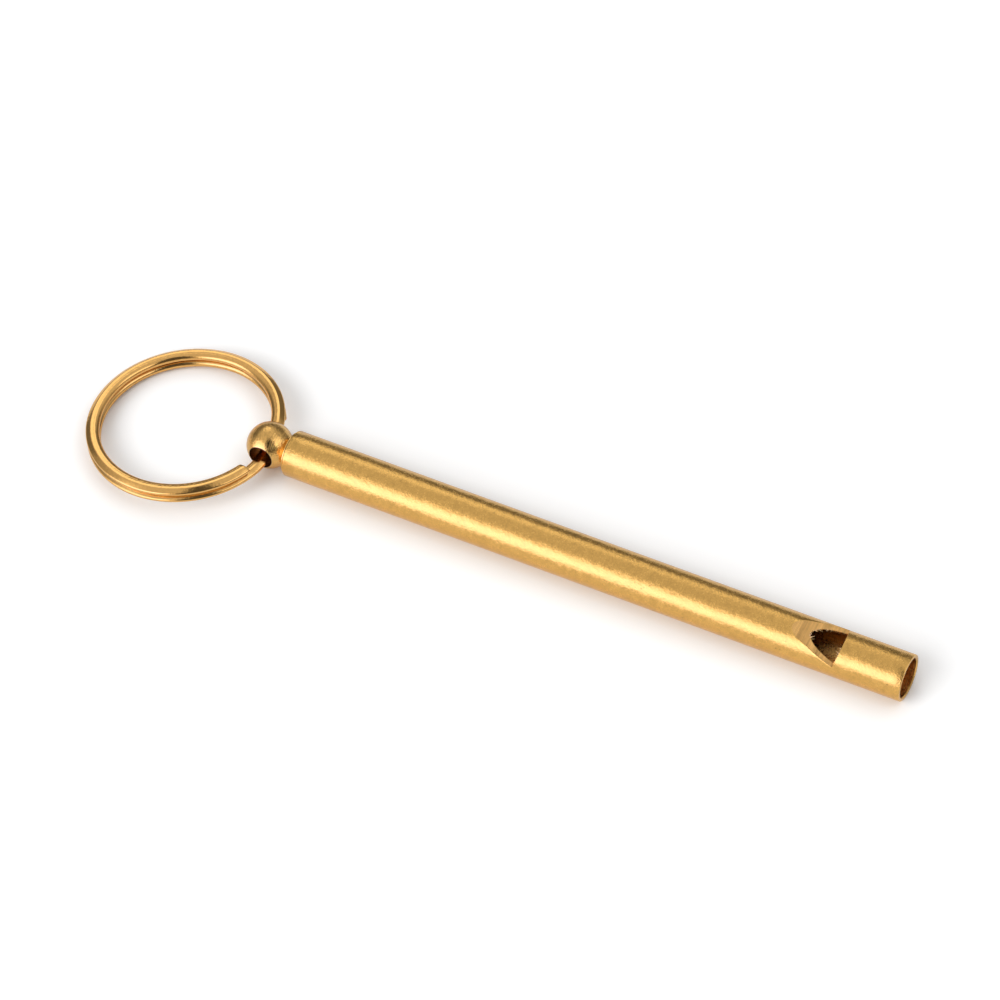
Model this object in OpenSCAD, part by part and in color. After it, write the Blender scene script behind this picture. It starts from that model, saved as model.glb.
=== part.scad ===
// Brass tube whistle with a ball end and a split ring, lying on a flat surface.
// Origin: centre of the mouth, on the tube's axis. +X points out of the mouth, +Z points up.

/* [Tube] */
// Length of the tube from the mouth to the ball's shoulder
tube_length = 84; // [60:1:120]
// Outside diameter of the tube
tube_od = 6; // [5.5:0.1:8]
// Wall of the tube
tube_wall = 0.5; // [0.35:0.05:0.7]
// Bevel that breaks the tube's outer and inner edges
edge_break = 0.12; // [0.05:0.01:0.15]

/* [Window] */
// Distance from the mouth to the deepest corner of the window
window_from_mouth = 8.8; // [7:0.1:20]
// Depth of the window below the top of the tube
window_depth = 1.7; // [1.3:0.1:2]
// Length of the ramp, from where it starts to the deepest corner
ramp_length = 6.2; // [4:0.1:10]
// Length of the ramp's first and flatter slope
lip_length = 2.6; // [1.5:0.1:3.5]
// Depth that the ramp's first slope reaches
lip_depth = 0.56; // [0.2:0.02:0.9]
// Lean of the square cut towards the mouth
cut_lean = 17; // [0:1:30]
// Turn of the window from straight up towards the front
window_turn = 10; // [-30:1:30]

/* [Fipple block] */
// Distance from the mouth to the block
block_recess = 2.5; // [1:0.5:5]
// Height of the windway above the block's flat
windway_height = 0.7; // [0.5:0.05:0.8]
// Radial clearance of the block and the spigot in the bore
bore_clearance = 0.01; // [0.01:0.005:0.03]

/* [Ball end] */
// Diameter of the ball
ball_d = 6; // [5.6:0.1:7]
// Distance from the tube's end to the ball
ball_gap = 0.25; // [0.2:0.05:1]
// Diameter of the neck where the cone meets the shoulder
neck_d = 3; // [2.4:0.1:3.6]
// Width of the seat that the shoulder has on the tube's end, outside the bore
shoulder_seat = 0.2; // [0.15:0.05:0.25]
// Thickness of the shoulder
shoulder_t = 0.3; // [0.2:0.05:0.4]
// Length of the spigot inside the tube
spigot_length = 6; // [3:0.5:15]
// Diameter of the cross hole for the ring
hole_d = 3.15; // [3.1:0.05:3.4]
// Countersink that breaks the edges of the cross hole
hole_break = 0.12; // [0.05:0.01:0.15]
// Turn of the cross hole, which lifts its front end
hole_turn = 7; // [0:1:9]

/* [Split ring] */
// Outside diameter of the ring
ring_od = 25.5; // [22:0.5:32]
// Width of the wire across the ring
wire_w = 1.82; // [1.4:0.02:1.9]
// Thickness of the wire along the ring's axis
wire_t = 1.1; // [1:0.02:1.2]
// Gap between the two turns
turn_gap = 0.05; // [0.04:0.01:0.12]
// Half the arc of the step between the turns
step_half_arc = 21; // [19:1:24]
// Arc between the step and each cut end of the wire
end_arc = 4.4; // [1.2:0.2:6]
// Shift of the ring's centre towards the front
ring_shift = 0.85; // [0:0.05:1]
// Distance that the wire sags below the middle of the hole
wire_sag = 0.12; // [0:0.01:0.18]
// Roll of the resting ring, which lifts its front edge
ring_roll = 2.5; // [0:0.5:3]

/* [Hidden] */
$fn = 64;
// How far cutters run past the surfaces they cut
over = 1;
// Steps of the search that lays the ring on the surface
settle_steps = 30;

tube_r = tube_od / 2;
bore_r = tube_r - tube_wall;
plug_r = bore_r - bore_clearance;
tube_end = -tube_length;
window_x = -window_from_mouth;
ramp_x = window_x - ramp_length;

ball_r = ball_d / 2;
// Distance from the tube's end to the ball's centre
ball_reach = ball_r + ball_gap;
ball_x = tube_end - ball_reach;
hole_r = hole_d / 2;
// Where the cone meets the shoulder, seen from the ball's centre
shoulder_r = bore_r + shoulder_seat;
neck_x = ball_reach - shoulder_t;
neck_r = neck_d / 2;
neck_far = sqrt(neck_x * neck_x + neck_r * neck_r);
// Angle from the axis to the circle where the cone touches the ball
touch = atan2(neck_r, neck_x) + acos(ball_r / neck_far);
// How far below the ball's surface the cone starts, so that the two surfaces cross
sink = 0.1;
// Distance from the ball's centre to the plane of the hole's sharp rim
rim = sqrt(ball_r * ball_r - hole_r * hole_r);

ring_r = (ring_od - wire_w) / 2;
pitch = wire_t + turn_gap;
wire_flat = wire_w - wire_t;
// The step climbs one pitch over its own arc
step_climb = asin(pitch / (2 * ring_r * sin(step_half_arc)));
// Overlap of the step with the turns at its two kinks
kink = 0.3;
// Angle on the ring at which the step crosses the middle of the hole
step_at = asin(ring_shift / ring_r);
turn_sweep = 360 - 2 * step_half_arc - end_arc;

// Least room that the wire keeps in its hole
wire_room = 0.05;
// Angle between the wire and the hole's axis, seen along the tube
wire_lean = hole_turn + step_climb - ring_roll;
// Sideways offset of the wire at the hole's rim, from its bend and from its crossing angle
wire_bow = rim * rim / (2 * ring_r);
wire_slip = rim * tan(step_at);
// Distance from the hole's axis to the far side of the wire at the back rim (1) or the front rim (-1)
function wire_reach(side) =
    norm([wire_flat / 2 + abs(wire_bow + side * wire_slip), rim * tan(wire_lean) - side * wire_sag])
    + wire_t / 2 / cos(wire_lean);
// Rate at which the wire leaves the hole's axis at the rim
wire_leave = norm([tan(wire_lean), tan(step_at) + rim / ring_r]);
// Radius that a straight hole lacks to clear the wire
wire_lack = max(0, max(wire_reach(1), wire_reach(-1)) + wire_room - hole_r);
// Depth of the countersink, deeper where a straight hole would not clear the wire
flare_depth = hole_break + wire_lack / wire_leave;

// Lowest point of the ring below the middle of the wire, for a given droop of the ring's far side
function lean(droop) = acos(cos(droop) * cos(ring_roll));
function drop(droop) =
    ring_r * cos(step_at) * sin(droop) * cos(ring_roll) - ring_shift * sin(ring_roll)
    + (ring_r + wire_flat / 2) * sin(lean(droop)) + pitch / 2 * cos(lean(droop)) + wire_t / 2;
// Halves the interval until the ring's lowest point lies level with the bottom of the tube
function settle(low, high, steps) =
    steps == 0 ? (low + high) / 2
    : drop((low + high) / 2) < tube_r - wire_sag ? settle((low + high) / 2, high, steps - 1)
    : settle(low, (low + high) / 2, steps - 1);
ring_droop = settle(0, 20, settle_steps);

// Places a shape made along Z at x on the tube's axis, pointing along +X
module along_tube(x) {
    translate([x, 0, 0])
        rotate([0, 90, 0])
            children();
}

// A round bar or tube with broken edges, from x to x + length
module turned(x, length, outer, inner, bevel) {
    along_tube(x)
        rotate_extrude()
            polygon([
                [inner, 0], [outer - bevel, 0], [outer, bevel],
                [outer, length - bevel], [outer - bevel, length], [inner, length]
            ]);
}

// The space that the window's cutter clears, in its turned position
module window_space() {
    rise = over * lip_length / lip_depth;
    rotate([window_turn, 0, 0])
        rotate([90, 0, 0])
            linear_extrude(2 * tube_od, center = true)
                polygon([
                    [window_x, tube_r - window_depth],
                    [window_x + (window_depth + over) * tan(cut_lean), tube_r + over],
                    [ramp_x - rise, tube_r + over],
                    [ramp_x + lip_length, tube_r - lip_depth]
                ]);
}

module whistle_tube() {
    color("goldenrod")
        difference() {
            turned(tube_end, tube_length, tube_r, bore_r, edge_break);
            window_space();
            // inner bevel at the mouth
            along_tube(-edge_break)
                cylinder(h = edge_break + over, r1 = bore_r, r2 = bore_r + edge_break + over);
        }
}

module fipple_block() {
    flat_at = bore_r - windway_height;
    color("darkgoldenrod")
        difference() {
            turned(window_x, window_from_mouth - block_recess, plug_r, 0, edge_break);
            window_space();
            rotate([window_turn, 0, 0])
                translate([window_x - over, -tube_od / 2, flat_at])
                    cube([window_from_mouth + 2 * over, tube_od, tube_od]);
        }
}

// The ring's cross hole with its two broken rims, through the ball's centre
module cross_hole() {
    flare = rim - flare_depth;
    rotate([90 - hole_turn, 0, 0]) {
        cylinder(h = 2 * ball_d, r = hole_r, center = true);
        for (side = [0, 180])
            rotate([side, 0, 0])
                translate([0, 0, flare])
                    cylinder(h = over, r1 = hole_r, r2 = hole_r + over);
    }
}

module ball_end_plug() {
    color("gold")
        difference() {
            union() {
                along_tube(ball_x)
                    sphere(r = ball_r);
                along_tube(ball_x + ball_r * cos(touch))
                    cylinder(h = neck_x - ball_r * cos(touch), r1 = ball_r * sin(touch) - sink, r2 = neck_r);
                turned(tube_end - shoulder_t, shoulder_t, shoulder_r, 0, edge_break / 2);
                turned(tube_end, spigot_length, plug_r, 0, edge_break);
            }
            translate([ball_x, 0, 0])
                cross_hole();
        }
}

// Section of the wire: round edges and flat faces
module wire_section() {
    square([wire_flat, wire_t], center = true);
    for (side = [-1, 1])
        translate([side * wire_flat / 2, 0])
            circle(d = wire_t);
}

// One stretch of the wire, bent round the ring's axis
module wire_arc(from, sweep) {
    rotate_extrude(angle = sweep, start = from)
        translate([ring_r, 0])
            wire_section();
}

// The ring about its own centre, with the step at the +X side
module flat_ring() {
    for (level = [-1, 1])
        translate([0, 0, level * pitch / 2])
            wire_arc(step_half_arc + (level < 0 ? end_arc : 0), turn_sweep);
    rotate([step_climb, 0, 0])
        wire_arc(-step_half_arc - kink, 2 * (step_half_arc + kink));
}

module split_ring() {
    color("orange")
        translate([ball_x, 0, -wire_sag])
            rotate([-ring_roll, 0, 0])
                rotate([0, -ring_droop, 0])
                    translate([-ring_r * cos(step_at), -ring_shift, 0])
                        rotate([0, 0, step_at])
                            flat_ring();
}

whistle_tube();
fipple_block();
ball_end_plug();
split_ring();
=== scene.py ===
"""Brass whistle keychain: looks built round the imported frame. Metres, in the frame's own axes."""

from math import acos, asin, atan2, cos, hypot, pi, radians, sin, sqrt, tan, tau

import bmesh
import bpy
import numpy as np
from mathutils import Matrix, Vector


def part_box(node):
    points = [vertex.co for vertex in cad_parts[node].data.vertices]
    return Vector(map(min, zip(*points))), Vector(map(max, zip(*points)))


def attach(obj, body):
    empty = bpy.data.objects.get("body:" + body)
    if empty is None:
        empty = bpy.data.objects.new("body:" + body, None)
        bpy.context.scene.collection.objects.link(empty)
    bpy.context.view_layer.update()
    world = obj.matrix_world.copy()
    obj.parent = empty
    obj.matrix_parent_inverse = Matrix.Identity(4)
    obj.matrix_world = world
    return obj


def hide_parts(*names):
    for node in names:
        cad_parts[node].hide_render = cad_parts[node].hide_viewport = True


bl_info = {
    "name": "Whistle Keychain",
    "version": (1, 0, 0),
    "blender": (4, 5, 0),
    "location": "View3D > Sidebar > Whistle",
    "description": "Brass tube whistle with a ball end and a split ring",
    "category": "Object",
}

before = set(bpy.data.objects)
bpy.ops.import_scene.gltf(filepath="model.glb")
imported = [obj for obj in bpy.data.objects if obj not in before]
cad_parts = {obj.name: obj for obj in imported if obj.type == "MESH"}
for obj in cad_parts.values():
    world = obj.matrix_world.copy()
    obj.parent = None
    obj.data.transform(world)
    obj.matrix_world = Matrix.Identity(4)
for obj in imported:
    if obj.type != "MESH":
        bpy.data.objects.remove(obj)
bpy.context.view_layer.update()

MM = 0.001
TUBE_LOW, TUBE_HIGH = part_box("whistle_tube")
BLOCK_LOW, BLOCK_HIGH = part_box("fipple_block")
BALL_LOW, BALL_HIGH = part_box("ball_end_plug")
TUBE_R = (TUBE_HIGH.z - TUBE_LOW.z) / 2
BALL_R = (BALL_HIGH.z - BALL_LOW.z) / 2
BALL_CENTRE = Vector((BALL_LOW.x + BALL_R, 0, 0))
FLOOR_Z = TUBE_LOW.z
# Two lengths closer than this are the same
SAME = 1e-7


# ---- properties

def number(name, description, default, **more):
    return bpy.props.FloatProperty(name=name, description=description, default=default, **more)


def length(name, description, millimetres):
    return number(name, description, millimetres * MM, unit="LENGTH", subtype="DISTANCE", precision=5)


def angle(name, description, degrees):
    return number(name, description, radians(degrees), unit="ROTATION", subtype="ANGLE")


def colour(name, description, default):
    return bpy.props.FloatVectorProperty(name=name, description=description, default=default,
                                         size=3, min=0, max=1, subtype="COLOR")


class WhistleTubeSizes(bpy.types.PropertyGroup):
    """Sizes of the tube, its window and the block inside it"""
    wall: length("Wall", "Thickness of the tube's wall", 0.5)
    edge_break: length("Edge break", "Bevel on the tube's ends", 0.12)
    window_from_mouth: length("Window", "Mouth to the deepest corner of the window", -BLOCK_LOW.x / MM)
    window_depth: length("Window depth", "Depth of the window below the tube's top", 1.7)
    ramp_length: length("Ramp", "Length of the ramp up to the deepest corner", 6.2)
    lip_length: length("Lip", "Length of the ramp's first slope", 2.6)
    lip_depth: length("Lip depth", "Depth that the first slope reaches", 0.56)
    facet: length("Facet", "Length of the smooth facet where the ramp starts", 1.0)
    deburr: length("Deburr", "Rounding of the window's outer edge", 0.05)
    cut_lean: angle("Cut lean", "Lean of the square cut towards the mouth", 17)
    window_turn: angle("Window turn", "Turn of the window towards the front", 10)
    windway: length("Windway", "Height of the windway above the block", 0.7)
    clearance: length("Clearance", "Radial clearance of what sits in the bore", 0.01)
    block_edge: length("Block edge", "Rounding of the block's edges", 0.09)
    burr_length: length("Burr length", "Middling length of the window's burrs", 0.40)
    burr_width: length("Burr width", "Radius of a burr at its foot", 0.055)


class WhistleEndSizes(bpy.types.PropertyGroup):
    """Sizes of the ball end"""
    neck_r: length("Neck radius", "Radius where the cone meets the shoulder", 1.5)
    shoulder_r: length("Shoulder radius", "Radius of the shoulder", 2.7)
    shoulder_t: length("Shoulder", "Thickness of the shoulder", 0.3)
    fillet: length("Fillet", "Rounding between the cone and the shoulder", 0.22)
    edge: length("Edge", "Rounding of the shoulder's and the spigot's edges", 0.10)
    hole_r: length("Hole radius", "Radius of the cross hole", 1.575)
    hole_break: length("Hole break", "Countersink at the hole's rims", 0.12)
    hole_turn: angle("Hole turn", "Turn that lifts the hole's front end", 7)


class WhistleRingSizes(bpy.types.PropertyGroup):
    """Sizes and rest position of the split ring"""
    outside_d: length("Outside diameter", "Outside diameter of the ring", 25.48)
    wire_w: length("Wire width", "Width of the wire across the ring", 1.8)
    wire_t: length("Wire thickness", "Thickness of the wire along the ring's axis", 1.1)
    turn_gap: length("Turn gap", "Gap between the two turns", 0.05)
    step_half_arc: angle("Step", "Half the arc of the step between the turns", 21)
    end_arc: angle("End arc", "Arc between the step and each cut end", 4.4)
    shift: length("Shift", "Shift of the ring's centre towards the front", 0.85)
    sag: length("Sag", "Sag of the wire below the middle of the hole", 0.12)
    roll: angle("Roll", "Roll that lifts the ring's front edge", 2.5)
    droop: angle("Droop", "Droop of the ring's far side onto the table", 3.8)
    end_slant: angle("End slant", "Slant of the wire's cut ends", 14)
    bevel_angle: angle("Bevel angle", "Slope of the bevel beside the wire's crest", 31)
    bevel_width: length("Bevel width", "Width of the bevel on the wire's outer side", 0.44)
    crest: length("Crest", "Rounding of the wire's outer side", 0.29)
    shoulder: length("Shoulder", "Rounding between the bevel and the face", 0.20)
    crown: length("Crown", "Radius of the wire's crowned faces", 1.65)


class WhistleFinish(bpy.types.PropertyGroup):
    """Colours of the brass"""
    tube_brass: colour("Tube brass", "Satin tumbled brass of the tube", (0.78, 0.45, 0.125))
    milled_brass: colour("Milled brass", "Fresh brass on the milled ramp", (0.82, 0.47, 0.16))
    burr_brass: colour("Burr brass", "Bright brass of the window's burrs", (0.95, 0.64, 0.30))
    bore_brass: colour("Bore brass", "Brass inside the bore", (0.62, 0.33, 0.10))
    block_brass: colour("Block brass", "Sawn brass of the fipple block", (0.70, 0.41, 0.15))
    ball_brass: colour("Ball brass", "Turned brass of the ball end", (0.79, 0.46, 0.14))
    drilled_brass: colour("Drilled brass", "Dark brass in the cross hole", (0.42, 0.27, 0.15))
    ring_brass: colour("Ring brass", "Polished brass of the ring", (0.84, 0.475, 0.15))
    # painted shade: a darker, duller brass that stands in for the shade between the ring's turns
    seam_brass: colour("Seam brass", "Dull brass between the ring's turns", (0.72, 0.44, 0.17))


class WhistleStudio(bpy.types.PropertyGroup):
    """Camera and studio"""
    azimuth: angle("Azimuth", "Camera's turn round the whistle", 30.41)
    elevation: angle("Elevation", "Camera's height angle", 51.14)
    roll: angle("Roll", "Camera's roll", -4.59)
    distance: length("Distance", "Camera to the aim point", 567.069)
    lens: number("Lens", "Focal length", 162.0)
    aim_right: length("Aim right", "Aim point right of the tube's ring end, in the picture", 25.84)
    aim_down: length("Aim down", "Aim point below the tube's ring end, in the picture", 4.004)
    floor_size: length("Floor", "Side of the pale floor", 6000)
    shadow_reach: length("Shadow reach", "How far the close shadow reaches on the floor", 5)
    floor_white: number("Floor white", "Lift of the open floor to white", 0.3)
    key_strength: number("Key strength", "Strength of the key light", 1.1)
    key_azimuth: angle("Key azimuth", "Direction that the key light comes from", -118)
    key_elevation: angle("Key elevation", "Height angle of the key light", 36)
    key_size: angle("Key size", "Width of the key light as the whistle sees it", 40)


# ---- node helpers

def arithmetic(operation, swapped=False):
    """A Python operator between a Value and another, or a number, that adds a maths node."""
    def act(self, other):
        return self.nodes.maths(operation, *((other, self) if swapped else (self, other)))
    return act


class Value:
    """What a node gives. Arithmetic on it adds further nodes to the same tree."""
    __add__, __radd__ = arithmetic("ADD"), arithmetic("ADD", swapped=True)
    __sub__, __rsub__ = arithmetic("SUBTRACT"), arithmetic("SUBTRACT", swapped=True)
    __mul__, __truediv__ = arithmetic("MULTIPLY"), arithmetic("DIVIDE")

    def __init__(self, nodes, socket):
        self.nodes, self.socket = nodes, socket

    def maths(self, operation, *others):
        return self.nodes.maths(operation, self, *others)

    def vector(self, operation, other=(0, 0, 0), output="Vector"):
        return self.nodes.add("ShaderNodeVectorMath", output, {0: self, 1: other}, operation=operation)

    def split(self):
        """The X, Y and Z of a vector."""
        parts = self.nodes.place("ShaderNodeSeparateXYZ", {"Vector": self}).outputs
        return [Value(self.nodes, part) for part in parts]

    def mapped(self, **changes):
        """The place turned by Rotation or stretched by Scale."""
        return self.nodes.add("ShaderNodeMapping", 0, {"Vector": self, **changes})

    def step(self, low, high, to_low=0.0, to_high=1.0):
        """A soft step from to_low at low to to_high at high."""
        return self.nodes.add("ShaderNodeMapRange", "Result", {
            "Value": self, "From Min": low, "From Max": high, "To Min": to_low, "To Max": to_high},
            interpolation_type="SMOOTHSTEP")

    def noise(self, scale, detail=2.0, roughness=0.5):
        """A noise at this place, centred on zero."""
        return self.nodes.add("ShaderNodeTexNoise", "Fac", {
            "Vector": self, "Scale": scale, "Detail": detail, "Roughness": roughness}) - 0.5

    def cells(self, scale):
        """How far this place is from the middle of its cell."""
        return self.nodes.add("ShaderNodeTexVoronoi", "Distance", {"Vector": self, "Scale": scale})


class Nodes:
    """Adds nodes to one tree. Inputs take numbers, colours and Values alike."""

    def __init__(self, tree):
        self.tree = tree

    def plug(self, socket, value):
        if isinstance(value, Value):
            self.tree.links.new(value.socket, socket)
        else:
            socket.default_value = value

    def place(self, kind, inputs=None, **settings):
        """One node with its settings and inputs."""
        node = self.tree.nodes.new(kind)
        for key, value in settings.items():
            setattr(node, key, value)
        for key, value in (inputs or {}).items():
            self.plug(node.inputs[key], value)
        return node

    def add(self, kind, output, inputs=None, **settings):
        """One node, of which this output is wanted."""
        return Value(self, self.place(kind, inputs, **settings).outputs[output])

    def maths(self, operation, *values, clamp=False):
        return self.add("ShaderNodeMath", 0, dict(enumerate(values)), operation=operation, use_clamp=clamp)

    def join(self, x=0.0, y=0.0, z=0.0):
        return self.add("ShaderNodeCombineXYZ", 0, {"X": x, "Y": y, "Z": z})

    def named(self, name, kind="FLOAT"):
        """A named attribute of the mesh, in a geometry tree."""
        return self.add("GeometryNodeInputNamedAttribute", "Attribute", {"Name": name}, data_type=kind)

    def blend(self, factor, a, b, blend_type="MIX"):
        """Two colours mixed; their sockets are the mix node's seventh and eighth."""
        return self.add("ShaderNodeMix", 2, {"Factor": factor, 6: a, 7: b}, data_type="RGBA",
                        blend_type=blend_type)


def node_group(kind, name, inputs, outputs):
    """A node group with named sockets: its Nodes, what it is given, and give(), which ends it."""
    tree = bpy.data.node_groups.new(name, kind + "NodeTree")
    for in_out, sockets in (("INPUT", inputs), ("OUTPUT", outputs)):
        for label, socket in sockets.items():
            tree.interface.new_socket(label, in_out=in_out, socket_type="NodeSocket" + socket)
    nodes = Nodes(tree)
    given = {socket.name: Value(nodes, socket) for socket in tree.nodes.new("NodeGroupInput").outputs}

    def give(**results):
        nodes.place("NodeGroupOutput", results)
        return tree

    return nodes, given, give


# ---- brass

def shader_group(name, *numbers, outputs=("Tone", "Rough", "Height")):
    """A shader group: the place it is given, its named numbers, and give(), which ends it."""
    _, given, give = node_group("Shader", name, {"Vector": "Vector", **dict.fromkeys(numbers, "Float")},
                                dict.fromkeys(outputs, "Float"))
    return given["Vector"], given, give


def tumbled_skin():
    """Soft waves, fine mottling and small pits of a tumbled surface. Height is in micrometres."""
    place, given, give = shader_group("tumbled_skin", "Waves", "Mottle", "Pits")
    waves = place.noise(520.0) * given["Waves"]
    mottle = (place.noise(4200.0, 3.0, 0.6) + place.noise(1500.0, 2.0, 0.6)) * given["Mottle"]
    where = place.noise(300.0, 1.0).step(0.10, 0.20)
    pit = place.cells(1700.0).step(0.06, 0.24, 1.0, 0.0) * where * given["Pits"]
    return give(Tone=mottle * 0.42 + pit * -0.35, Rough=mottle * 0.16,
                Height=waves * 55.0 + mottle * 28.0 + pit * -6.0)


def tool_marks():
    """Lines that a cutter leaves; the vector is stretched along them. Height is in micrometres."""
    place, given, give = shader_group("tool_marks", "Depth")
    lines = (place.noise(1.0, 2.0, 0.6) + place.noise(0.35, 1.0)) * given["Depth"]
    return give(Tone=lines * 0.5, Rough=lines * 0.15, Height=lines * 12.0)


def edge_wear():
    """Brightens what the edge attribute marks, broken up so that the wear isn't even."""
    place, given, give = shader_group("edge_wear", "Edge", "Amount", outputs=("Tone", "Rough"))
    worn = (given["Edge"] + place.noise(1500.0, 2.0)).step(0.45, 0.9) * given["Amount"]
    return give(Tone=worn * 0.22, Rough=worn * -0.08)


def patch(place, centre, size, soft):
    """1 near a point of the piece and 0 further off than size, in millimetres."""
    away = place.vector("DISTANCE", [x * MM for x in centre], "Value")
    return away.step(size * MM - soft * MM, size * MM, 1.0, 0.0)


def brass(name, base, roughness, waves=1.0, mottle=1.0, pits=1.0, marks=None, wear=0.0, extra=None,
          darkening=None):
    """A brass from the shared groups. marks is (stretch of the lines, turn about X, depth), extra(place)
    gives one more (tone, roughness), and the last argument is (colour, mask(place)): a darker brass where
    the mask is 1, used as painted shade between the ring's turns and as the darker brass of the ball's
    cross hole."""
    material = bpy.data.materials.new(name)
    material.use_nodes = True
    nodes = Nodes(material.node_tree)
    nodes.tree.nodes.clear()
    place = nodes.add("ShaderNodeTexCoord", "Object")
    groups = [(tumbled_skin, {"Vector": place, "Waves": waves, "Mottle": mottle, "Pits": pits})]
    if marks:
        stretch, turn, depth = marks
        lines_at = place.mapped(Rotation=(turn, 0, 0)).mapped(Scale=stretch)
        groups.append((tool_marks, {"Vector": lines_at, "Depth": depth}))
    if wear:
        edge = nodes.add("ShaderNodeAttribute", "Fac", attribute_name="edge")
        groups.append((edge_wear, {"Vector": place, "Edge": edge, "Amount": wear}))
    layers = {"Tone": [], "Rough": [], "Height": []}
    for maker, inputs in groups:
        tree = bpy.data.node_groups.get(maker.__name__) or maker()
        for socket in nodes.place("ShaderNodeGroup", inputs, node_tree=tree).outputs:
            layers[socket.name].append(Value(nodes, socket))
    if extra:
        tone, rough = extra(place)
        layers["Tone"].append(tone)
        layers["Rough"].append(rough)
    plain = (*base, 1)
    if darkening:
        dark, mask = darkening
        plain = nodes.blend(mask(place), plain, (*dark, 1))
    tint = nodes.blend(1.0, plain, sum(layers["Tone"], 1.0), "MULTIPLY")
    first, *others = layers["Height"]
    relief = nodes.add("ShaderNodeBump", "Normal",
                       {"Strength": 1.0, "Distance": 1e-6, "Height": sum(others, first)})
    first, *others = layers["Rough"]
    rough = nodes.maths("ADD", sum(others, first), roughness, clamp=True)
    shader = nodes.add("ShaderNodeBsdfPrincipled", "BSDF", {
        "Base Color": tint, "Metallic": 1.0, "Normal": relief, "Roughness": rough})
    nodes.place("ShaderNodeOutputMaterial", {"Surface": shader})
    return material


# ---- mesh helpers

def in_scene(name, data):
    obj = bpy.data.objects.new(name, data)
    bpy.context.scene.collection.objects.link(obj)
    return obj


def mesh_object(name, vertices, faces, materials=(), face_materials=None):
    mesh = bpy.data.meshes.new(name)
    mesh.from_pydata([tuple(v) for v in vertices], [], faces)
    for material in materials:
        mesh.materials.append(material)
    if face_materials is not None:
        mesh.polygons.foreach_set("material_index", np.array(face_materials, dtype=np.int32))
    mesh.update()
    return in_scene(name, mesh)


def outward(obj):
    """Merges doubles and turns every face outwards."""
    work = bmesh.new()
    work.from_mesh(obj.data)
    bmesh.ops.remove_doubles(work, verts=work.verts, dist=SAME)
    bmesh.ops.recalc_face_normals(work, faces=work.faces)
    work.to_mesh(obj.data)
    work.free()
    return obj


def baked(obj, kind, inputs=(), **settings):
    """The object with one modifier, turned into plain mesh."""
    modifier = obj.modifiers.new(kind, kind)
    for key, value in settings.items():
        setattr(modifier, key, value)
    for identifier, value in inputs:
        modifier[identifier] = value
    depsgraph = bpy.context.evaluated_depsgraph_get()
    mesh = bpy.data.meshes.new_from_object(obj.evaluated_get(depsgraph))
    obj.modifiers.clear()
    old = obj.data
    obj.data = mesh
    mesh.name = obj.name
    bpy.data.meshes.remove(old)
    return obj


def smooth(obj, degrees):
    for polygon in obj.data.polygons:
        polygon.use_smooth = True
    obj.data.set_sharp_from_angle(angle=radians(degrees))


def mark_edges(obj, distance, reach):
    """Writes the attribute "edge": 1 where distance(point) is 0, and 0 from reach on."""
    values = [max(0.0, 1.0 - distance(v.co) / reach) for v in obj.data.vertices]
    obj.data.attributes.new("edge", "FLOAT", "POINT").data.foreach_set("value", values)


def lathe(name, profile, steps, turn):
    """Turns (x, r) points round the X axis; points with r = 0 close the ends. turn places it."""
    vertices, rings, faces = [], [], []
    for x, r in profile:
        count = steps if r else 1
        rings.append([len(vertices) + i % count for i in range(steps)])
        for a in (tau * i / steps for i in range(count)):
            vertices.append(turn @ Vector((x, r * cos(a), r * sin(a))))
    for low, high in zip(rings, rings[1:]):
        for i in range(steps):
            j = (i + 1) % steps
            faces.append(without_repeats([low[i], low[j], high[j], high[i]]))
    return outward(mesh_object(name, vertices, faces))


def without_repeats(corners):
    return [corner for k, corner in enumerate(corners) if corner != corners[k - 1]]


def from_nodes(name, tree, values, points, attribute, vectors, closed=False):
    """A plain mesh object that a geometry tree makes from a line through the points, which has one vector
    attribute; values go to the tree's named inputs."""
    mesh = bpy.data.meshes.new(name)
    count = len(points)
    mesh.from_pydata(points, [(i, (i + 1) % count) for i in range(count if closed else count - 1)], [])
    mesh.attributes.new(attribute, "FLOAT_VECTOR", "POINT").data.foreach_set("vector", np.ravel(vectors))
    inputs = [(item.identifier, values[item.name]) for item in tree.interface.items_tree
              if item.item_type == "SOCKET" and item.in_out == "INPUT" and item.name in values]
    return baked(in_scene(name, mesh), "NODES", inputs, node_group=tree)


def geometry_group(name, inputs):
    """A geometry group with the named inputs; give(geometry) realizes and paints what it makes."""
    nodes, given, give = node_group("Geometry", name, {"Geometry": "Geometry", **inputs},
                                    {"Geometry": "Geometry"})

    def give_painted(geometry):
        real = nodes.add("GeometryNodeRealizeInstances", 0, {"Geometry": geometry})
        return give(Geometry=nodes.add("GeometryNodeSetMaterial", 0, {
            "Geometry": real, "Material": given["Material"]}))

    return nodes, given, give_painted


def finish_piece(obj, body, node):
    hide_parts(node)
    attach(obj, body)


# ---- stage

class WHISTLE_OT_stage(bpy.types.Operator):
    """Make the pale floor, the studio light and the camera"""
    bl_idname = "whistle.make_stage"
    bl_label = "Stage"

    def execute(self, context):
        studio = context.scene.whistle_studio
        make_camera(context.scene, studio)
        make_world(context.scene)
        make_key(studio)
        make_floor(studio)
        context.scene.view_settings.view_transform = "Standard"
        return {"FINISHED"}


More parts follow.
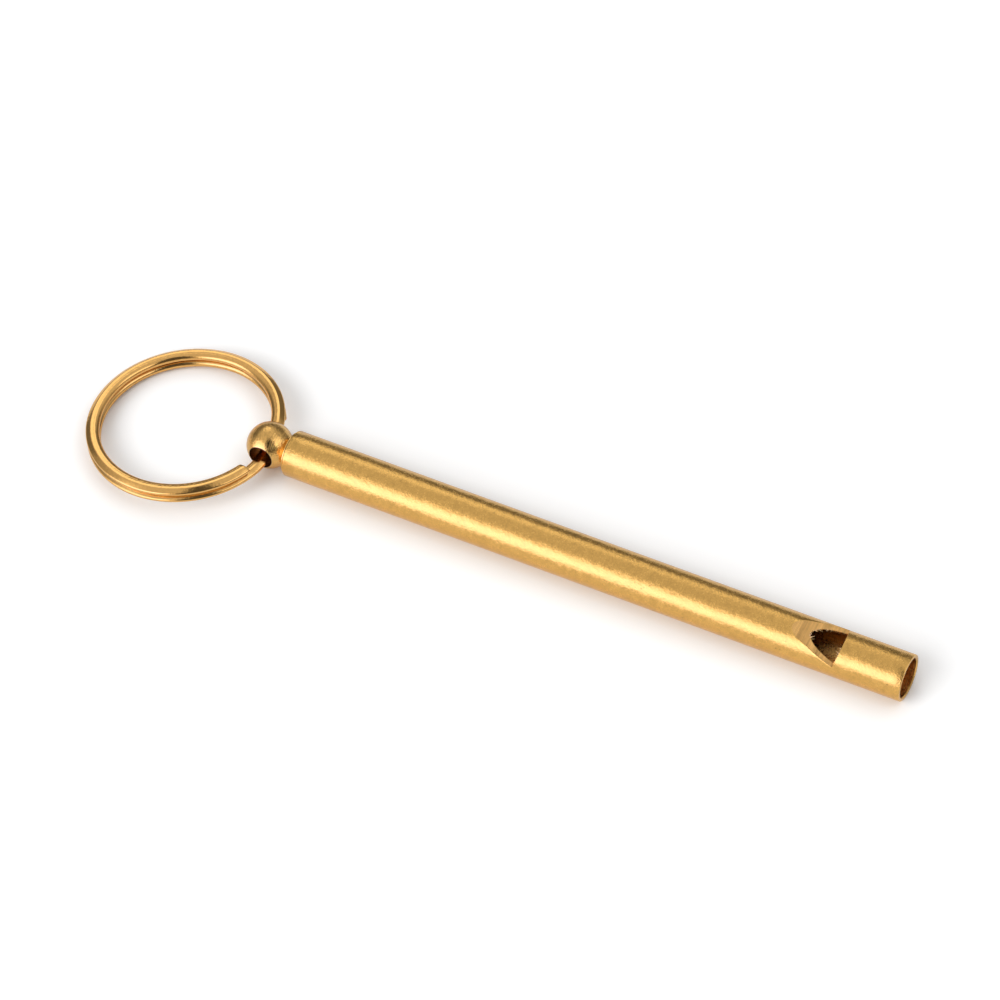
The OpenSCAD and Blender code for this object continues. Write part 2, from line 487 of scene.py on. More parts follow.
def make_camera(scene, studio):
    """The camera stands at the photograph's angle and looks at a point beside the ring."""
    a, e = studio.azimuth, studio.elevation
    back = Vector((sin(a) * cos(e), -cos(a) * cos(e), sin(e)))
    level_right = Vector((cos(a), sin(a), 0))
    level_down = (-back).cross(level_right)
    c, s = cos(studio.roll), sin(studio.roll)
    right = c * level_right - s * level_down
    down = s * level_right + c * level_down
    aim = (studio.aim_right * right + studio.aim_down * down + Vector((TUBE_LOW.x, 0, TUBE_LOW.z)))
    place = aim + studio.distance * back
    camera = in_scene("camera", bpy.data.cameras.new("camera"))
    camera.data.lens = studio.lens
    camera.data.sensor_width = 36.0
    camera.data.clip_start = 0.01
    camera.data.clip_end = 50.0
    camera.matrix_world = Matrix((
        (right.x, -down.x, back.x, place.x), (right.y, -down.y, back.y, place.y),
        (right.z, -down.z, back.z, place.z), (0, 0, 0, 1)))
    scene.camera = camera


ROOM = 0.45
# The studio as the whistle sees it: azimuths, elevations, softness (degrees) and brightness
STUDIO_ZONES = [
    ("walls", -400, 400, -20, 30, 10, 0.38),
    ("back wall", 60, 200, -20, 32, 12, 0.19),
    ("ceiling", -400, 400, 42, 120, 26, 0.70),
    ("back panel", 112, 137, 30, 52, 9, 1.42),
    ("front wall", -80, -28, -20, 16, 8, 0.50),
    ("dark side of the room", -84, -26, 12, 84, 10, 0.10),
    ("large softbox", -150, -84, -4, 47, 20, 1.9),
    ("softbox core", -140, -92, 6, 34, 20, 2.3),
    ("small softbox", -26, 30, 34, 60, 12, 1.6),
]
# How much blue the brightest softbox gains, and from which brightness to which
COOL = 0.5
COOL_FROM, COOL_TO = 1.3, 2.4


def make_world(scene):
    """The studio's walls, ceiling and softboxes; the camera itself sees plain white."""
    world = bpy.data.worlds.new("studio")
    world.use_nodes = True
    nodes = Nodes(world.node_tree)
    nodes.tree.nodes.clear()
    x, y, z = nodes.add("ShaderNodeTexCoord", "Generated").split()
    degrees = 180 / pi
    azimuth = y.maths("ARCTAN2", x) * degrees
    elevation = z.maths("ARCSINE") * degrees

    def between(value, low, high, soft):
        return (value.step(low - soft / 2, low + soft / 2)
                * value.step(high - soft / 2, high + soft / 2, 1.0, 0.0))

    def mix(factor, a, b, label):
        return nodes.add("ShaderNodeMix", "Result", {"Factor": factor, "A": a, "B": b},
                         data_type="FLOAT", label=label)

    light = ROOM
    for name, az0, az1, el0, el1, soft, level in STUDIO_ZONES:
        inside = between(azimuth, az0, az1, soft) * between(elevation, el0, el1, soft)
        light = mix(inside, light, level, name)
    path = nodes.place("ShaderNodeLightPath").outputs
    seen = mix(Value(nodes, path["Is Camera Ray"]), light, 1.0, "white for the camera")
    # the softboxes look a little cooler than the room where metal mirrors them
    bright = light.step(COOL_FROM, COOL_TO, 0.0, COOL)
    blue = bright.maths("MULTIPLY_ADD", Value(nodes, path["Is Glossy Ray"]), 1.0)
    cool = nodes.add("ShaderNodeCombineColor", "Color", {"Red": 1.0, "Green": 1.0, "Blue": blue})
    background = nodes.add("ShaderNodeBackground", 0, {"Color": cool, "Strength": seen})
    nodes.place("ShaderNodeOutputWorld", {"Surface": background})
    scene.world = world


def make_floor(studio):
    """A white floor that the camera sees as white, apart from the whistle's shadow: the key light casts
    it, and close to the whistle the white glow fades with occlusion, which paints a contact shadow.
    """
    half = studio.floor_size / 2
    corners = [(x * half, y * half, FLOOR_Z) for x, y in ((-1, -1), (1, -1), (1, 1), (-1, 1))]
    material = bpy.data.materials.new("pale_floor")
    material.use_nodes = True
    nodes = Nodes(material.node_tree)
    path = nodes.add("ShaderNodeLightPath", "Is Camera Ray")
    # painted contact shadow: the glow that lifts the floor to white fades where the floor is occluded
    near = nodes.add("ShaderNodeAmbientOcclusion", "AO", {"Distance": studio.shadow_reach}, samples=8)
    shader = nodes.tree.nodes["Principled BSDF"]
    for key, value in {
            "Base Color": (0.9, 0.9, 0.9, 1), "Roughness": 0.8, "Specular IOR Level": 0.0,
            "Emission Color": (1, 1, 1, 1),
            "Emission Strength": path * near.maths("POWER", 2.0) * studio.floor_white}.items():
        nodes.plug(shader.inputs[key], value)
    mesh_object("floor", corners, [(0, 1, 2, 3)], [material])


def make_key(studio):
    """The soft key light from the front left, which throws the whistle's shadow on the floor behind it."""
    key = in_scene("key_light", bpy.data.lights.new("key_light", "SUN"))
    key.data.energy = studio.key_strength
    key.data.angle = studio.key_size
    a, e = studio.key_azimuth, studio.key_elevation
    towards = Vector((cos(a) * cos(e), sin(a) * cos(e), sin(e)))
    key.rotation_euler = towards.to_track_quat("Z", "Y").to_euler()
    key.visible_glossy = False


# ---- tube, block and burrs

# Height of a cut that misses the tube
UNCUT = 2 * TUBE_R
# Faces round the tube, and lengthways before and after the window
TUBE_STEPS, BEFORE_WINDOW, AFTER_WINDOW = 168, 28, 8
# Arc of the tube's wall from one station of the window to the next, and the least drop between them
STATION_ARC = radians(1.6)
STATION_DROP = 0.004 * MM
LEVEL = 1e-9
# How much steeper the facet is than the rest of the ramp's first slope
FACET_FALL = 1.25
# The tube's end bevel is rounded in the middle, at this share of its width
ROUND_AT = 0.3
EDGE_REACH = 0.35 * MM
# The tube's three finishes, in the order of its mesh's materials
SATIN, MILLED, BORE = range(3)


def cut_profile(sizes):
    """(x, height above the axis) of the window's floor, from the ramp's start to the square cut's top."""
    corner = TUBE_HIGH.x - sizes.window_from_mouth
    start = corner - sizes.ramp_length
    slope = sizes.lip_depth / sizes.lip_length
    return [(start, TUBE_R), (start + sizes.facet, TUBE_R - sizes.facet * slope * FACET_FALL),
            (start + sizes.lip_length, TUBE_R - sizes.lip_depth), (corner, TUBE_R - sizes.window_depth),
            (corner + sizes.window_depth * tan(sizes.cut_lean), TUBE_R)]


def over_cut(sizes):
    """Makes measure(point): the point with the window turned straight up, and its height over the cut."""
    profile = cut_profile(sizes)
    back = Matrix.Rotation(-sizes.window_turn, 3, "X")

    def measure(point):
        p = back @ point
        for (x0, h0), (x1, h1) in zip(profile, profile[1:]):
            if x0 <= p.x <= x1:
                return p, p.z - (h0 + (h1 - h0) * (p.x - x0) / (x1 - x0))
        return p, p.z - UNCUT

    return measure


def window_stations(sizes, bore):
    """(x, height) along the window, with about even steps round the tube on both of its walls."""
    profile = cut_profile(sizes)
    stations = []
    for (x0, h0), (x1, h1) in zip(profile, profile[1:]):
        levels = {h0, h1}
        for radius in (TUBE_R, bore):
            high, low = min(max(h0, h1), radius), min(h0, h1)
            if high <= low:
                continue
            a0, a1 = acos(high / radius), acos(low / radius)
            count = max(2, round((a1 - a0) / STATION_ARC))
            levels.update(radius * cos(a0 + (a1 - a0) * i / count) for i in range(count + 1))
        ordered = sorted(levels, reverse=h1 < h0)
        kept = [ordered[0]]
        for level in ordered[1:]:
            near = abs(level - kept[-1]) <= STATION_DROP
            if near and level not in (h1, bore):
                continue
            if near and level == bore and kept[-1] not in (h0, h1):
                kept.pop()
            kept.append(level)
        stations += [(x0 + (x1 - x0) * (h - h0) / (h1 - h0), h) for h in kept]
    # a slope ends where the next one starts, so that station is there twice
    return stations[:1] + [b for a, b in zip(stations, stations[1:]) if b[0] > a[0] + LEVEL]


def satin_extra(place):
    """A cluster of deeper pits near the mouth."""
    pit = place.cells(2100.0).step(0.10, 0.30, 1.0, 0.0) * patch(place, (-1.6, -2.9, 0.75), 1.0, 0.5)
    return pit * -0.5, pit * 0.2


def facet_extra(end, soft=0.03 * MM):
    """The smooth facet, up to x = end, is brighter than the milled slope after it."""
    def extra(place):
        facet = place.split()[0].step(end - soft, end + soft, 1.0, 0.0)
        return facet * 0.22, facet * -0.12
    return extra


class WHISTLE_OT_tube(bpy.types.Operator):
    """Make the tube with its milled window"""
    bl_idname = "whistle.make_tube"
    bl_label = "Tube"

    def execute(self, context):
        sizes, finish = context.scene.whistle_tube, context.scene.whistle_finish
        turn, bevel = Matrix.Rotation(sizes.window_turn, 3, "X"), sizes.edge_break
        bore = TUBE_R - sizes.wall
        stations = window_stations(sizes, bore)
        start, stop = stations[0][0], stations[-1][0]
        left, right = TUBE_LOW.x + bevel, TUBE_HIGH.x - bevel
        stations[:0] = [(left + (start - left) * i / BEFORE_WINDOW, UNCUT) for i in range(BEFORE_WINDOW)]
        stations += [(stop + (right - stop) * i / AFTER_WINDOW, UNCUT) for i in range(1, AFTER_WINDOW + 1)]
        vertices, faces, kinds = [], [], []

        def ring(x, r, h=UNCUT):
            """Vertices round the tube at x, leaving out what the window has cut away."""
            half = acos(h / r) if h < r - LEVEL else 0.0
            index = list(range(len(vertices), len(vertices) + TUBE_STEPS + (half > 0)))
            for j in range(len(index)):
                a = half + (tau - 2 * half) * j / TUBE_STEPS
                vertices.append(turn @ Vector((x, r * sin(a), r * cos(a))))
            return index if half > 0 else index + index[:1]

        def skin(rings, kind):
            for low, high in zip(rings, rings[1:]):
                for j in range(TUBE_STEPS):
                    faces.append([low[j], low[j + 1], high[j + 1], high[j]])
                    kinds.append(kind)

        outside = [ring(x, TUBE_R, h) for x, h in stations]
        inside = [ring(x, bore, h) for x, h in stations]
        skin(outside, SATIN)
        skin(inside, BORE)
        # the window's floor lies between its edges on the outside and, where it is that deep, the inside
        for i, ((_, h0), (_, h1)) in enumerate(zip(stations, stations[1:])):
            if min(h0, h1) >= TUBE_R - LEVEL:
                continue
            o0, o1, i0, i1 = outside[i], outside[i + 1], inside[i], inside[i + 1]
            if max(h0, h1) <= bore + LEVEL:
                strips = [[o0[0], i0[0], i1[0], o1[0]], [o1[-1], i1[-1], i0[-1], o0[-1]]]
            else:
                strips = [[o0[0], o1[0], *([i1[0]] if abs(h1 - bore) < LEVEL else []), o1[-1], o0[-1],
                           *([i0[0]] if abs(h0 - bore) < LEVEL else [])]]
            for strip in map(without_repeats, strips):
                if len(strip) > 2:
                    faces.append(strip)
                    kinds.append(MILLED)
        # the mouth's bevels and face, then the ring end's
        rounding = ROUND_AT * bevel
        for rings in (
                [outside[-1], ring(TUBE_HIGH.x - rounding, TUBE_R - rounding),
                 ring(TUBE_HIGH.x, TUBE_R - bevel), ring(TUBE_HIGH.x, bore + bevel), inside[-1]],
                [inside[0], ring(TUBE_LOW.x, bore), ring(TUBE_LOW.x, TUBE_R - bevel),
                 ring(TUBE_LOW.x + rounding, TUBE_R - rounding), outside[0]]):
            skin(rings, SATIN)
        tube = outward(mesh_object("tube", vertices, faces, [
            brass("satin_brass", finish.tube_brass, 0.24, wear=0.6, extra=satin_extra),
            brass("milled_brass", finish.milled_brass, 0.36, waves=0.3, mottle=0.5, pits=0.2,
                  marks=((3200, 200, 200), -sizes.window_turn, 1.6),
                  extra=facet_extra(start + sizes.facet)),
            brass("bore_brass", finish.bore_brass, 0.3, mottle=2.0, pits=0.5)], kinds))
        round_window(tube, sizes)
        smooth(tube, 28)
        measure = over_cut(sizes)

        def from_edge(point):
            p, over = measure(point)
            return min(abs(p.x - TUBE_LOW.x), abs(p.x - TUBE_HIGH.x), abs(over))

        mark_edges(tube, from_edge, EDGE_REACH)
        finish_piece(tube, "whistle", "whistle_tube")
        return {"FINISHED"}


def round_window(tube, sizes):
    """Rounds the outer edge of the window a little, as deburring does, and less where it runs out."""
    measure = over_cut(sizes)
    mesh = tube.data
    points = []
    for vertex in mesh.vertices:
        p, over = measure(vertex.co)
        on_edge = abs(over) < SAME and abs(hypot(p.y, p.z) - TUBE_R) < SAME
        points.append(p if on_edge and p.z < TUBE_R - 0.02 * MM else None)
    weights = []
    for edge in mesh.edges:
        a, b = (points[v] for v in edge.vertices)
        if a is None or b is None or edge.is_loose or a.y * b.y < 0:
            weights.append(0.0)
            continue
        depth = (TUBE_R - (a.z + b.z) / 2) / sizes.window_depth
        weights.append(min(1.0, max(0.0, depth * 4 - 0.2)))
    mesh.attributes.new("bevel_weight_edge", "FLOAT", "EDGE").data.foreach_set("value", weights)
    baked(tube, "BEVEL", limit_method="WEIGHT", width=sizes.deburr, segments=2, use_clamp_overlap=False,
          material=SATIN)


# Stations beyond the tip of the opening, and the stretch round its corner, that get burrs too
TIP_STATIONS, CORNER_REACH = 8, 0.35 * MM


class WHISTLE_OT_burrs(bpy.types.Operator):
    """Make the burrs that the cutter left along the window's inner edge"""
    bl_idname = "whistle.make_burrs"
    bl_label = "Window burrs"

    def execute(self, context):
        sizes, finish = context.scene.whistle_tube, context.scene.whistle_finish
        bore = TUBE_R - sizes.wall
        corner = TUBE_HIGH.x - sizes.window_from_mouth
        turn = Matrix.Rotation(sizes.window_turn, 3, "X")
        opened = [(x, sqrt(bore ** 2 - h ** 2), h) for x, h in window_stations(sizes, bore)
                  if h < bore - 0.001 * MM]
        # back edge with the tip of the opening, and the short front edge round the corner
        back_edge = [(x, -y, h) for x, y, h in reversed(opened[:TIP_STATIONS])]
        back_edge += [point for point in opened if point[0] <= corner]
        front_edge = [(x, -y, h) for x, y, h in opened if abs(x - corner) < CORNER_REACH]
        # the burrs lean towards a point inside the opening, and up
        inward = turn @ Vector((corner - 1.2 * MM, 0, TUBE_R - sizes.window_depth - 0.4 * MM))
        upward = Vector((0, 0, 0.8))
        material = brass("burr_brass", finish.burr_brass, 0.2, waves=0.5, pits=0.0)
        tree = burr_tree()
        pieces = []
        for name, path, count, size, seed in (("back", back_edge, 64, 1.0, 3),
                                              ("front", front_edge, 9, 0.8, 5)):
            points = [turn @ Vector(p) for p in path]
            lean = [(inward - p).normalized() + upward for p in points]
            pieces.append(from_nodes("burrs_" + name, tree, {
                "Count": count, "Length": sizes.burr_length * size, "Width": sizes.burr_width,
                "Seed": seed, "Material": material}, points, "lean", lean))
        burrs, other = pieces
        work = bmesh.new()
        for piece in pieces:
            work.from_mesh(piece.data)
        work.to_mesh(burrs.data)
        work.free()
        bpy.data.objects.remove(other)
        burrs.name = "window_burrs"
        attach(burrs, "whistle")
        return {"FINISHED"}


def burr_tree():
    """Thin slivers on a path, each leaning the way that the path's lean attribute says, with some play."""
    nodes, given, give = geometry_group("burrs", {
        "Count": "Int", "Length": "Float", "Width": "Float", "Seed": "Int", "Material": "Material"})
    curve = nodes.add("GeometryNodeMeshToCurve", 0, {"Mesh": given["Geometry"]})
    points = nodes.add("GeometryNodeCurveToPoints", "Points", {"Curve": curve, "Count": given["Count"]},
                       mode="COUNT")
    lean = nodes.named("lean", "FLOAT_VECTOR")
    along = nodes.add("FunctionNodeAlignRotationToVector", 0, {"Vector": lean}, axis="Z")
    play = nodes.add("FunctionNodeRandomValue", 0, {0: (-0.6, -0.6, 0.0), 1: (0.6, 0.6, 6.3),
                                                    "Seed": given["Seed"]}, data_type="FLOAT_VECTOR")
    turned = nodes.add("FunctionNodeRotateRotation", 0, {"Rotation": along, "Rotate By": play},
                       rotation_space="LOCAL")

    def draw(low, high, seed):
        """A random number for each sliver."""
        return nodes.add("FunctionNodeRandomValue", 1, {2: low, 3: high, "Seed": given["Seed"] + seed})

    # most slivers are short, and a few are long
    stretch = draw(0.0, 1.0, 11).maths("POWER", 4.0).maths("MULTIPLY_ADD", 1.3, 0.65)
    width = draw(0.5, 1.2, 23)
    sliver = nodes.add("GeometryNodeMeshCone", "Mesh", {
        "Vertices": 6, "Side Segments": 3, "Radius Bottom": given["Width"],
        "Radius Top": given["Width"] * 0.12, "Depth": given["Length"]})
    rooted = nodes.add("GeometryNodeTransform", 0, {
        "Geometry": sliver, "Translation": nodes.join(z=given["Length"] * -0.15)})
    return give(nodes.add("GeometryNodeInstanceOnPoints", 0, {
        "Points": points, "Instance": rooted, "Rotation": turned,
        "Scale": nodes.join(width, width * 0.5, stretch)}))


class WHISTLE_OT_block(bpy.types.Operator):
    """Make the fipple block inside the mouth"""
    bl_idname = "whistle.make_block"
    bl_label = "Fipple block"

    def execute(self, context):
        sizes, finish = context.scene.whistle_tube, context.scene.whistle_finish
        bore = TUBE_R - sizes.wall
        radius = bore - sizes.clearance
        deep = TUBE_R - sizes.window_depth
        turn = Matrix.Rotation(sizes.window_turn, 3, "X")
        # the outline runs round from the flat, past where the square cut ends on both sides (low)
        half = acos((bore - sizes.windway) / radius)
        low = acos(deep / radius)
        cut, steps = 4, 96
        angles = [half + (low - half) * i / cut for i in range(cut)]
        angles += [low + (tau - 2 * low) * i / steps for i in range(steps + 1)]
        angles += [tau - low + (low - half) * i / cut for i in range(1, cut + 1)]
        vertices = []
        for a in angles:
            y, z = radius * sin(a), radius * cos(a)
            back = BLOCK_LOW.x + max(0.0, z - deep) * tan(sizes.cut_lean)
            vertices += [turn @ Vector((back, y, z)), turn @ Vector((BLOCK_HIGH.x, y, z))]
        count = len(angles)
        faces = [[2 * i, 2 * j, 2 * j + 1, 2 * i + 1] for i, j in zip(range(count), [*range(1, count), 0])]
        faces.append([2 * i + 1 for i in range(count)])
        faces.append([2 * i for i in range(cut, count - cut)])
        faces.append([2 * i for i in (*range(cut + 1), *range(count - cut - 1, count))])
        block = outward(mesh_object("block", vertices, faces, [
            brass("block_brass", finish.block_brass, 0.32, waves=0.5, mottle=1.5, pits=0.6,
                  marks=((900, 5200, 900), -sizes.window_turn, 1.2))]))
        baked(block, "BEVEL", width=sizes.block_edge, segments=3, limit_method="ANGLE",
              angle_limit=radians(40))
        smooth(block, 35)
        finish_piece(block, "whistle", "fipple_block")
        return {"FINISHED"}


# ---- ball end

# Faces round the ball end and round its drill, and along the ball's outline, the cone and the fillet
BALL_STEPS, DRILL_STEPS, BALL_ARC, CONE_STEPS = 256, 128, 110, 8


def scuffed(shoulder_x):
    """Turning lines that show more towards the neck, a dark patch of scuffs with a pale one beside it, and
    a painted highlight along the shoulder's edge with a painted shadow behind it."""
    def extra(place):
        local = place.vector("SUBTRACT", BALL_CENTRE)
        lines = local.mapped(Scale=(6500, 420, 420)).noise(1.0, 2.0)
        x = local.split()[0]
        neckward = x.step(0.0, 2.0 * MM, 0.15, 0.6)
        scuff = patch(local, (1.15, -1.62, 2.2), 0.85, 0.5)
        pale = patch(local, (1.65, -1.45, 2.05), 0.7, 0.5)
        dark = scuff * lines.step(-0.05, 0.1, -0.75, 0.1)
        # painted highlight: a bright band on the shoulder's rounded edge, where light glints
        bright = (x.step(shoulder_x - 0.03 * MM, shoulder_x)
                  * x.step(shoulder_x + 0.12 * MM, shoulder_x + 0.16 * MM, 1.0, 0.0))
        # painted shadow: the rest of the shoulder, up to the tube's end, is darkened as the gap's shade
        gap = x.step(shoulder_x + 0.14 * MM, shoulder_x + 0.18 * MM)
        return (lines * neckward + dark + pale * 0.4 + bright * 0.25 + gap * -0.5,
                scuff * 0.12 + lines * 0.2 + bright * -0.1)
    return extra


def ball_profile(sizes, neck_x, spigot_r):
    """(x, radius) of the ball end from the ball's centre: ball, cone, fillet, shoulder and spigot."""
    neck_r, edge = sizes.neck_r, sizes.edge
    touch = atan2(neck_r, neck_x) + acos(BALL_R / hypot(neck_x, neck_r))
    profile = [(-BALL_R, 0)]
    for i in range(1, BALL_ARC + 1):
        a = (pi - touch) * i / BALL_ARC
        profile.append((-BALL_R * cos(a), BALL_R * sin(a)))
    # the cone runs tangent from the ball and rounds out onto the shoulder's face
    root, foot = Vector(profile[-1]), Vector((neck_x, neck_r))
    before = foot - (foot - root).normalized() * sizes.fillet
    after = Vector((neck_x, neck_r + sizes.fillet))
    shares = [i / CONE_STEPS for i in range(1, CONE_STEPS + 1)]
    profile += [tuple(root.lerp(before, t)) for t in shares]
    profile += [tuple(before * (1 - t) ** 2 + foot * 2 * t * (1 - t) + after * t ** 2) for t in shares]
    profile += [(neck_x + edge * (1 - cos(a)), sizes.shoulder_r - edge * (1 - sin(a)))
                for a in map(radians, range(0, 91, 15))]
    face, end = neck_x + sizes.shoulder_t, BALL_HIGH.x - BALL_CENTRE.x
    return profile + [(face - edge, sizes.shoulder_r), (face, sizes.shoulder_r - edge), (face, spigot_r),
                      (end - 2 * edge, spigot_r), (end, spigot_r - 2 * edge), (end, 0)]


def drill_profile(sizes):
    """The space of the cross hole with a rounded break at both rims, as (along, radius)."""
    hole = sizes.hole_r
    start = sqrt(BALL_R ** 2 - hole ** 2) - sizes.hole_break
    rounding = 1.9 * sizes.hole_break
    side = [(start + rounding * sin(a), hole + rounding * (1 - cos(a)))
            for a in map(radians, range(0, 64, 9))]
    # it widens on at the slope that the rounding ends with, until it is clear of the ball
    x, r = side[-1]
    side += [(x + 1.2 * MM, r + 2.35 * MM), (x + 1.2 * MM, 0)]
    return [(-a, b) for a, b in reversed(side)] + side


class WHISTLE_OT_ball_end(bpy.types.Operator):
    """Make the drilled ball with its neck, shoulder and spigot"""
    bl_idname = "whistle.make_ball_end"
    bl_label = "Ball end"

    def execute(self, context):
        sizes, tube = context.scene.whistle_end, context.scene.whistle_tube
        finish = context.scene.whistle_finish
        neck_x = TUBE_LOW.x - BALL_CENTRE.x - sizes.shoulder_t
        to_ball = Matrix.Translation(BALL_CENTRE)
        profile = ball_profile(sizes, neck_x, TUBE_R - tube.wall - tube.clearance)
        ball = lathe("ball_end", profile, BALL_STEPS, to_ball)
        drill_turn = Matrix.Rotation(-sizes.hole_turn, 4, "X") @ Matrix.Rotation(pi / 2, 4, "Z")
        drill = lathe("drill", drill_profile(sizes), DRILL_STEPS, to_ball @ drill_turn)
        baked(ball, "BOOLEAN", operation="DIFFERENCE", solver="EXACT", object=drill)
        bpy.data.objects.remove(drill)
        ball.data.materials.clear()
        axis = (drill_turn @ Vector((1, 0, 0))).normalized()

        def in_hole(place):
            """1 on the wall of the cross hole."""
            arm = place.vector("SUBTRACT", BALL_CENTRE).vector("CROSS_PRODUCT", axis)
            off = arm.vector("LENGTH", output="Value")
            return off.step(sizes.hole_r + 0.02 * MM, sizes.hole_r + 0.12 * MM, 1.0, 0.0)

        ball.data.materials.append(
            brass("turned_brass", finish.ball_brass, 0.19, waves=0.8, mottle=1.1, pits=0.6,
                  marks=((5200, 300, 300), 0.0, 0.35), wear=0.8, extra=scuffed(neck_x),
                  darkening=(finish.drilled_brass, in_hole)))
        smooth(ball, 32)
        rim = sqrt(BALL_R ** 2 - sizes.hole_r ** 2)

        def from_rim(point):
            p = point - BALL_CENTRE
            along = p.dot(axis)
            return hypot(abs(along) - rim, (p - axis * along).length - sizes.hole_r)

        mark_edges(ball, from_rim, 0.4 * MM)
        finish_piece(ball, "whistle", "ball_end_plug")
        return {"FINISHED"}


# ---- split ring

RING_POINTS = 1000


def ring_place(sizes, ring_r):
    """Where the split ring rests: its own centre and turn, in the frame."""
    step_at = asin(sizes.shift / ring_r)
    return (Matrix.Translation((BALL_CENTRE.x, 0, -sizes.sag))
            @ Matrix.Rotation(-sizes.roll, 4, "X")
            @ Matrix.Rotation(-sizes.droop, 4, "Y")
            @ Matrix.Translation((-ring_r * cos(step_at), -sizes.shift, 0))
            @ Matrix.Rotation(step_at, 4, "Z"))


def wire_section(sizes):
    """(outward, up) points round the wire: crowned faces, a bevel beside the crest and rounded edges."""
    bevel = pi / 2 - sizes.bevel_angle
    crown = radians(85), radians(102)
    x, y = sizes.wire_w / 2, 0.0
    upper = [(x, y)]
    # each stretch turns the outline's normal from low to high, from straight out to straight in
    for low, high, radius, steps in ((0, bevel, sizes.crest, 7), (bevel, crown[0], sizes.shoulder, 4),
                                     (*crown, sizes.crown, 6)):
        for i in range(steps):
            a, b = (low + (high - low) * k / steps for k in (i, i + 1))
            x += radius * (cos(b) - cos(a))
            y += radius * (sin(b) - sin(a))
            upper.append((x, y))
        if high == bevel:
            x, y = x - sizes.bevel_width, y + sizes.bevel_width * tan(sizes.bevel_angle)
            upper.append((x, y))
    # the inner side rounds off as a quarter of an oval
    wide, low = x + sizes.wire_w / 2, y
    upper += [(x - wide * sin(a), low * cos(a)) for a in map(radians, range(9, 91, 9))]
    tall = max(point[1] for point in upper)
    upper = [(px, sizes.wire_t / 2 * max(0.0, py) / tall) for px, py in upper]
    return upper + [(px, -py) for px, py in reversed(upper[1:-1])]


def ring_tree():
    """Two turns of the wire, whose section is the geometry, with a step between them, round the origin."""
    nodes, given, give = geometry_group("split_ring", {
        "Radius": "Float", "Pitch": "Float", "Step Half Arc": "Float", "End Arc": "Float",
        "End Slant": "Float", "Points": "Int", "Material": "Material"})
    radius, step_arc = given["Radius"], given["Step Half Arc"]
    line = nodes.add("GeometryNodeCurvePrimitiveLine", 0, {"End": (1, 0, 0)})
    points = nodes.add("GeometryNodeResampleCurve", 0, {"Curve": line, "Count": given["Points"]})
    factor = nodes.add("GeometryNodeSplineParameter", "Factor")
    first = step_arc + given["End Arc"]
    sweep = 2 * tau - first * 2.0
    turned = factor.maths("MULTIPLY_ADD", sweep, first)
    climb = turned.step(tau - step_arc, tau + step_arc)
    spot = nodes.join(radius * turned.maths("COSINE"), radius * turned.maths("SINE"),
                      given["Pitch"] * (climb - 0.5))
    path = nodes.add("GeometryNodeSetPosition", 0, {"Geometry": points, "Position": spot})
    wire = nodes.add("GeometryNodeSetCurveNormal", 0, {"Curve": path}, mode="Z_UP")
    # arc from the nearer cut end, in radians of the ring, and which end that is
    from_end = factor.maths("MINIMUM", 1.0 - factor) * sweep
    side = (factor - 0.5).maths("SIGN")
    # the turns lie on each other from each cut end on, and not along the step
    from_step = ((factor - 0.5) * sweep).maths("ABSOLUTE")
    covered = side * from_step.step(first - 0.02, first + 0.02)
    for name, value in (("from_end", from_end), ("end_side", side), ("covered", covered)):
        wire = nodes.add("GeometryNodeStoreNamedAttribute", 0, {
            "Geometry": wire, "Name": name, "Value": value}, data_type="FLOAT", domain="POINT")
    section = nodes.add("GeometryNodeMeshToCurve", 0, {"Mesh": given["Geometry"]})
    # the wire thins a little at its very ends, where their edges are broken
    wire = nodes.add("GeometryNodeCurveToMesh", 0, {
        "Curve": wire, "Profile Curve": section, "Scale": from_end.step(0.0, 0.014, 0.93, 1.0),
        "Fill Caps": True})
    # slants the cut ends: the outer side of the wire runs on, the inner side stops short
    x, y, z = nodes.add("GeometryNodeInputPosition", 0).split()
    radial = (x * x + y * y).maths("SQRT")
    at_end = nodes.named("end_side") * nodes.named("from_end").step(0.0, 0.10, 1.0, 0.0)
    reach = (radial - radius) * given["End Slant"].maths("TANGENT") * at_end
    return give(nodes.add("GeometryNodeSetPosition", 0, {
        "Geometry": wire, "Offset": nodes.join(y * reach / radial * -1.0, x * reach / radial)}))


def in_seam(place):
    """1 on the faces that the two turns show each other, from the ring's own attributes: where the shade
    between the turns is painted into the colour.
    """
    side = place.nodes.add("ShaderNodeAttribute", "Vector", attribute_name="section_side").split()[1]
    turn = place.nodes.add("ShaderNodeAttribute", "Fac", attribute_name="covered")
    return (side + turn).maths("ABSOLUTE").step(1.35, 1.85)


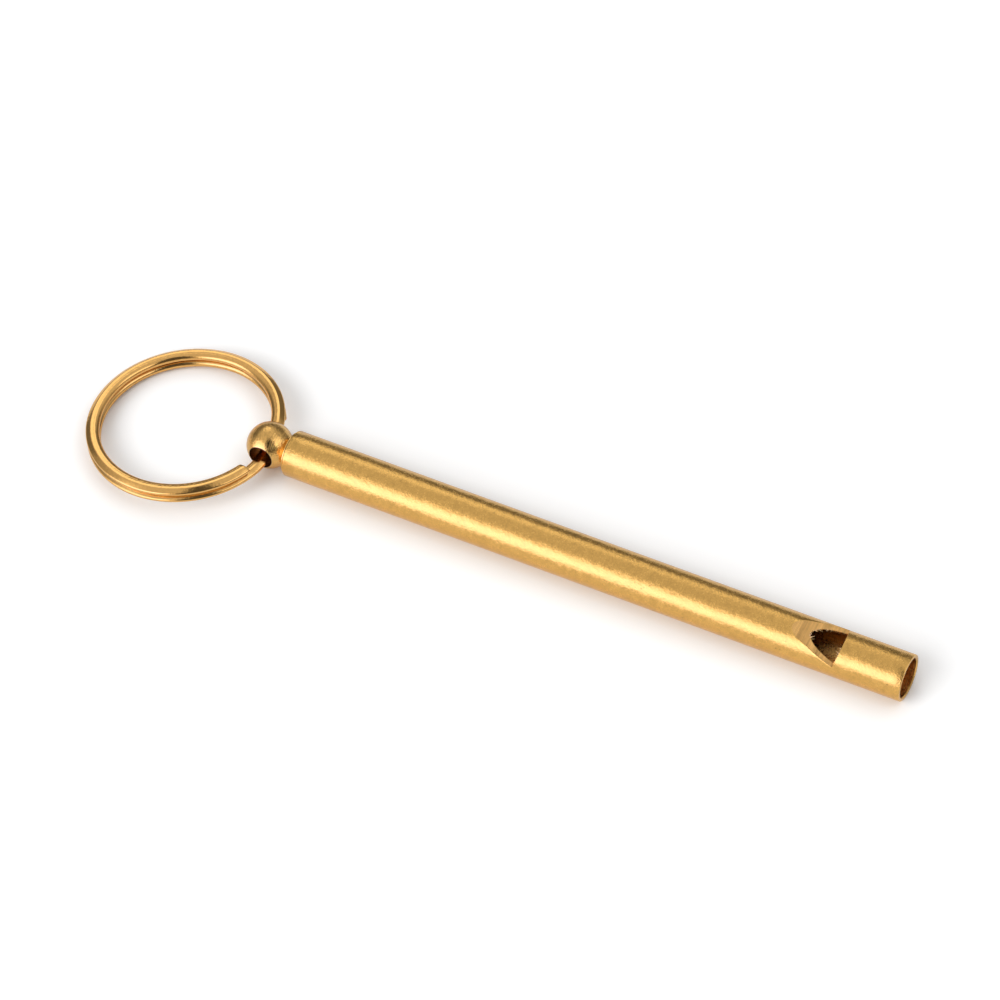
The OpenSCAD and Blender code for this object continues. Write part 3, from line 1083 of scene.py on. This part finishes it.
class WHISTLE_OT_ring(bpy.types.Operator):
    """Make the split ring from its wire's path"""
    bl_idname = "whistle.make_ring"
    bl_label = "Split ring"

    def execute(self, context):
        sizes, finish = context.scene.whistle_ring, context.scene.whistle_finish
        ring_r = (sizes.outside_d - sizes.wire_w) / 2
        section = [(x, y, 0) for x, y in wire_section(sizes)]
        # the darker seam brass is painted shade between the two turns
        material = brass("ring_brass", finish.ring_brass, 0.12, waves=0.25, mottle=0.35, pits=0.3,
                         marks=((1500, 1500, 9000), 0.0, 0.25), darkening=(finish.seam_brass, in_seam))
        ring = from_nodes("split_ring_wire", ring_tree(), {
            "Radius": ring_r, "Pitch": sizes.wire_t + sizes.turn_gap, "Step Half Arc": sizes.step_half_arc,
            "End Arc": sizes.end_arc, "End Slant": sizes.end_slant, "Points": RING_POINTS,
            "Material": material}, section, "section_side",
            [(0, 2 * y / sizes.wire_t, 0) for x, y, z in section], closed=True)
        ring.data.transform(ring_place(sizes, ring_r))
        outward(ring)
        smooth(ring, 40)
        finish_piece(ring, "ring", "split_ring")
        return {"FINISHED"}


# ---- add-on

class WHISTLE_PT_panel(bpy.types.Panel):
    """Lists what can be made"""
    bl_label = "Whistle Keychain"
    bl_idname = "WHISTLE_PT_panel"
    bl_space_type = "VIEW_3D"
    bl_region_type = "UI"
    bl_category = "Whistle"

    def draw(self, context):
        for operator in OPERATORS:
            self.layout.operator(operator.bl_idname)
        for name, settings in GROUPS.items():
            box = self.layout.box()
            for key in settings.__annotations__:
                box.prop(getattr(context.scene, name), key)


OPERATORS = (WHISTLE_OT_stage, WHISTLE_OT_tube, WHISTLE_OT_burrs, WHISTLE_OT_block, WHISTLE_OT_ball_end,
             WHISTLE_OT_ring)
GROUPS = {
    "whistle_tube": WhistleTubeSizes,
    "whistle_end": WhistleEndSizes,
    "whistle_ring": WhistleRingSizes,
    "whistle_finish": WhistleFinish,
    "whistle_studio": WhistleStudio,
}


def register():
    for cls in (*GROUPS.values(), *OPERATORS, WHISTLE_PT_panel):
        bpy.utils.register_class(cls)
    for name, cls in GROUPS.items():
        setattr(bpy.types.Scene, name, bpy.props.PointerProperty(type=cls))


def unregister():
    for name in GROUPS:
        delattr(bpy.types.Scene, name)
    for cls in reversed((*GROUPS.values(), *OPERATORS, WHISTLE_PT_panel)):
        bpy.utils.unregister_class(cls)


def main():
    register()
    bpy.ops.whistle.make_stage()
    bpy.ops.whistle.make_tube()
    bpy.ops.whistle.make_burrs()
    bpy.ops.whistle.make_block()
    bpy.ops.whistle.make_ball_end()
    bpy.ops.whistle.make_ring()
    bpy.context.view_layer.update()


if __name__ == "__main__":
    main()
